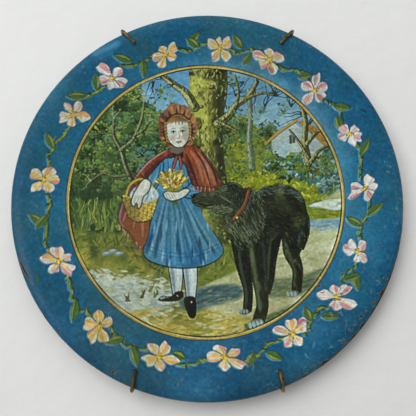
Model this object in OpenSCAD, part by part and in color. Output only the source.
// Round lithographed tin tray held in a four-hook spring plate hanger.
// Millimetres. +Z is up and the tray faces -Y. The origin is where the wall
// nail bears, on the underside of the wire at the hanger's peak.

/* [Tray] */
// Diameter of the tray over its curled rim
tray_d = 254; // [240:1:268]
// Thickness of the tinplate
sheet_t = 0.4; // [0.3:0.05:0.6]
// Diameter of the flat floor
floor_d = 164; // [150:1:170]
// Radius of the soft bend between the floor and the border
cove_r = 40; // [25:1:50]
// Slope of the wide border, in degrees
border_slope = 12; // [8:0.5:14]
// Radius of the broad shoulder that rounds the border off
shoulder_r = 16; // [12:1:20]
// Slope at which the shoulder ends, in degrees
shoulder_slope = 18; // [12:1:24]
// Radius of the tight bend that turns the rim down
brow_r = 2.5; // [2:0.25:3]
// Height of the straight skirt between that bend and the curl
skirt_h = 0.6; // [0.4:0.1:0.8]
// Radius of the hollow curl that hides the raw edge
curl_r = 1.4; // [1.2:0.1:1.6]

/* [Hanger wires] */
// Diameter of the brass wire
wire_d = 2; // [1.8:0.1:2.2]
// Where the upper hooks grip the rim, in degrees above the horizontal
upper_hook_angle = 63; // [60:1:66]
// Where the lower hooks grip the rim, in degrees below the horizontal
lower_hook_angle = 69; // [66:1:72]
// Slope of the upper hooks' front legs, in degrees from the horizontal
upper_leg_slope = 46; // [42:1:52]
// Slope of the lower hooks' front legs, in degrees from the horizontal
lower_leg_slope = 80; // [76:1:84]
// Length of each front leg, from the rim inwards
hook_reach = 13.5; // [12:0.5:15]
// Gap between the hooks and the rim
hook_gap = 0.3; // [0.2:0.05:0.5]
// Height of the hanger's peak above the tray's centre
peak_rise = 102; // [98:1:106]
// Height of the upper spring bends above the tray's centre
upper_bend_rise = 62; // [58:1:66]
// Height of the lower spring bends above the tray's centre
lower_bend_rise = 8; // [4:1:12]
// Distance of the spring bends from the middle
bend_out = 24; // [22:1:26]
// Depth of the lower wire's middle dip below the tray's centre
dip_drop = 22; // [18:1:26]
// Bend radius of the wire at the hooks, at its centreline
hook_bend_r = 3; // [2.8:0.1:3.2]
// Bend radius of the wire behind the tray, at its centreline
back_bend_r = 4; // [3.5:0.25:4.5]

/* [Springs] */
// Mean diameter of the coils
coil_d = 5; // [4.8:0.1:5.2]
// Diameter of the spring wire
coil_wire_d = 0.7; // [0.6:0.05:0.8]
// Turns in each spring
coil_turns = 30; // [26:1:34]
// Gap between an end loop and the wire in it
loop_gap = 0.25; // [0.2:0.05:0.35]

/* [Hidden] */

tray_r = tray_d / 2;
wire_r = wire_d / 2;
coil_r = coil_d / 2;
coil_wire_r = coil_wire_d / 2;
spring_clearance = 0.45;     // between the springs and the tray's back
arc_step = 7.5;              // degrees between points on the tray's bends
wire_step = 15;              // degrees between rings on a wire's bends
wire_sides = 16;
coil_sides = 6;
rings_per_turn = 10;
curl_turn = 270;
loop_turn = 320;             // how far an end loop closes on itself

// The back of the floor stands clear of the springs.
tray_back_y = -(coil_r + coil_wire_r + spring_clearance);

// ---------------------------------------------------------------- tray pan

// Radii at which the cove ends and the shoulder starts.
cove_end_r = floor_d / 2 + cove_r * sin(border_slope);
shoulder_start_r = tray_r - sheet_t / 2 - brow_r * (1 - sin(shoulder_slope))
    - shoulder_r * (sin(border_slope) + sin(shoulder_slope));
border_length = (shoulder_start_r - cove_end_r) / cos(border_slope);

function straight(length) = [[length, 0]];

// An arc as equal chords, each [length, turn], a turn to the left being positive.
function arc(r, turn) =
    let (n = ceil(abs(turn) / arc_step), each_turn = turn / n)
        [for (i = [1:n]) [2 * r * sin(abs(each_turn) / 2), each_turn]];

// The sheet's centreline from the middle of the floor outwards.
steps = concat(
    straight(floor_d / 2),
    arc(cove_r, border_slope),
    straight(border_length),
    arc(shoulder_r, -(border_slope + shoulder_slope)),
    arc(brow_r, -(90 - shoulder_slope)),
    straight(skirt_h),
    arc(curl_r, -curl_turn)
);

// Points along the centreline as [radius, height, heading].
centreline = [
    for (i = 0, r = 0, h = sheet_t / 2, a = 0;
         i <= len(steps);
         a_mid = i < len(steps) ? a + steps[i][1] / 2 : a,
         r = i < len(steps) ? r + steps[i][0] * cos(a_mid) : r,
         h = i < len(steps) ? h + steps[i][0] * sin(a_mid) : h,
         a = i < len(steps) ? a + steps[i][1] : a,
         i = i + 1)
        [r, h, a]
];

function beside(p, d) = [p[0] - d * sin(p[2]), p[1] + d * cos(p[2])];

tray_height = max([for (p = centreline) p[1]]) + sheet_t / 2;
tray_front_y = tray_back_y - tray_height;

module tray_pan() {
    last = len(centreline) - 1;
    outline = concat(
        [for (p = centreline) beside(p, sheet_t / 2)],
        [for (i = [last:-1:0]) beside(centreline[i], -sheet_t / 2)]
    );
    color("steelblue")
        translate([0, tray_back_y, -seat_rise])
            rotate([90, 0, 0])
                rotate_extrude($fn = 180)
                    polygon(outline);
}

// ---------------------------------------------------------- swept round wire

function unit(v) = v / norm(v);

// The arc of radius r that rounds off corner p between a and b.
function bend_centre(a, p, b, r) =
    let (u = unit(a - p), v = unit(b - p), half = acos(u * v) / 2)
        p + unit(u + v) * r / sin(half);

function bend(a, p, b, r) =
    let (
        u = unit(a - p),
        half = acos(u * unit(b - p)) / 2,
        c = bend_centre(a, p, b, r),
        start = p + u * r / tan(half),
        across = unit(start - c),
        along = -u,
        n = ceil((180 - 2 * half) / wire_step)
    )
        [for (i = [0:n])
            let (t = i * (180 - 2 * half) / n)
                c + r * (across * cos(t) + along * sin(t))];

// A path through the corners, rounded at each with its own radius.
function rounded(corners, radii) = [
    corners[0],
    for (i = [1:len(corners) - 2])
        for (q = bend(corners[i - 1], corners[i], corners[i + 1], radii[i])) q,
    corners[len(corners) - 1],
];

function heading(path, i) =
    unit(path[min(i + 1, len(path) - 1)] - path[max(i - 1, 0)]);

function square_to(n, t) = unit(n - (n * t) * t);

// One normal per path point, each carried on from the last without twist.
function normals(path, first) = [
    for (i = 0, n = square_to(first, heading(path, 0));
         i < len(path);
         i = i + 1,
         n = i < len(path) ? square_to(n, heading(path, i)) : n)
        n
];

module sweep(path, r, sides, first) {
    ns = normals(path, first);
    rings = len(path);
    points = [
        for (i = [0:rings - 1])
            let (t = heading(path, i), m = cross(t, ns[i]))
                for (k = [0:sides - 1])
                    path[i] + r * (ns[i] * cos(360 * k / sides) + m * sin(360 * k / sides))
    ];
    walls = [
        for (i = [0:rings - 2])
            for (k = [0:sides - 1])
                let (a = i * sides + k, b = i * sides + (k + 1) % sides)
                    for (f = [[a, a + sides, b + sides], [a, b + sides, b]]) f
    ];
    near = [for (k = [0:sides - 1]) k];
    far = [for (k = [sides - 1:-1:0]) (rings - 1) * sides + k];
    polyhedron(points, concat(walls, [near], [far]), convexity = 10);
}

// ------------------------------------------------------------- hanger wires

// The hooks stand on a circle just outside the rim, and their front legs
// pass just in front of the border's crest.
hook_circle_r = tray_r + hook_gap + wire_r;
leg_y = tray_front_y - hook_gap - wire_r;

// Corners of the right-hand hook, from its tip round the rim to the back.
// grip is where it holds the rim and inward the leg's direction, both in XZ.
function hook(grip_angle, inward) =
    let (
        out = hook_circle_r * [cos(grip_angle), 0, sin(grip_angle)],
        turn = out + [0, leg_y, 0]
    )
        [turn + hook_reach * [inward[0], 0, inward[1]], turn, out];

function flipped(p) = [-p[0], p[1], p[2]];

function both_sides(half, middle) = concat(
    half, [middle], [for (i = [len(half) - 1:-1:0]) flipped(half[i])]
);

hook_radii = [0, hook_bend_r, hook_bend_r, back_bend_r];
wire_radii = concat(
    hook_radii, [back_bend_r], [for (i = [3:-1:0]) hook_radii[i]]
);

upper_corners = both_sides(
    concat(
        hook(upper_hook_angle, [-cos(upper_leg_slope), -sin(upper_leg_slope)]),
        [[bend_out, 0, upper_bend_rise]]
    ),
    [0, 0, peak_rise]
);

lower_corners = both_sides(
    concat(
        hook(-lower_hook_angle, [-cos(lower_leg_slope), sin(lower_leg_slope)]),
        [[bend_out, 0, lower_bend_rise]]
    ),
    [0, 0, -dip_drop]
);

function centre_at(corners, i) =
    bend_centre(corners[i - 1], corners[i], corners[i + 1], back_bend_r);

// Height of the nail's seat above the tray's centre.
seat_rise = centre_at(upper_corners, 4)[2] + back_bend_r - wire_r;

module hanger_wire(corners) {
    color("darkgoldenrod")
        translate([0, 0, -seat_rise])
            sweep(rounded(corners, wire_radii), wire_r, wire_sides, [0, 1, 0]);
}

module upper_wire() {
    hanger_wire(upper_corners);
}

module lower_wire() {
    hanger_wire(lower_corners);
}

// ------------------------------------------------------------------ springs

// The wire's lowest point in an upper bend and highest in a lower one.
upper_seat = centre_at(upper_corners, 3) - [0, 0, back_bend_r];
lower_seat = centre_at(lower_corners, 3) + [0, 0, back_bend_r];

loop_r = coil_r;
loop_offset = loop_r - coil_wire_r - wire_r - loop_gap;
loop_rise = 0.8;             // from the last coil to the bottom of its loop
crossover_rings = 6;
loop_rings = 14;

// The upper end of a spring on the Z axis, from the loop's tip down to the
// coil: the loop stands in the YZ plane and a half turn joins it to the coil.
function end_loop(z) = [
    for (i = [0:loop_rings - 1])
        let (t = loop_turn * (1 - i / loop_rings))
            [0, -loop_r * sin(t), z + loop_r * (1 - cos(t))]
];

function crossover(z) = [
    for (i = [0:crossover_rings - 1])
        let (t = 180 * i / crossover_rings)
            [coil_r / 2 * (1 - cos(t)), -coil_r / 2 * sin(t),
             z - loop_rise * (1 - cos(t)) / 2]
];

function coils(top, bottom) =
    let (n = round(coil_turns * rings_per_turn))
        [for (i = [0:n])
            let (t = 360 * i / rings_per_turn)
                [coil_r * cos(t), coil_r * sin(t), top + (bottom - top) * i / n]];

function turned_over(path, z) = [
    for (i = [len(path) - 1:-1:0]) [path[i][0], -path[i][1], z - path[i][2]]
];

// A spring from one seat to the other, leaning to follow them.
module spring(side) {
    top = upper_seat[2] - loop_offset - loop_r;
    bottom = lower_seat[2] + loop_offset + loop_r;
    end = concat(end_loop(top), crossover(top));
    upright = concat(
        end,
        coils(top - loop_rise, bottom + loop_rise),
        turned_over(end, top + bottom)
    );
    leaning = [
        for (p = upright)
            let (share = (p[2] - bottom) / (top - bottom),
                 x = lower_seat[0] + share * (upper_seat[0] - lower_seat[0]))
                p + [side * x, 0, -seat_rise]
    ];
    color("peru")
        sweep(leaning, coil_wire_r, coil_sides, [1, 0, 0]);
}

module left_spring() {
    spring(-1);
}

module right_spring() {
    spring(1);
}

tray_pan();
upper_wire();
lower_wire();
left_spring();
right_spring();
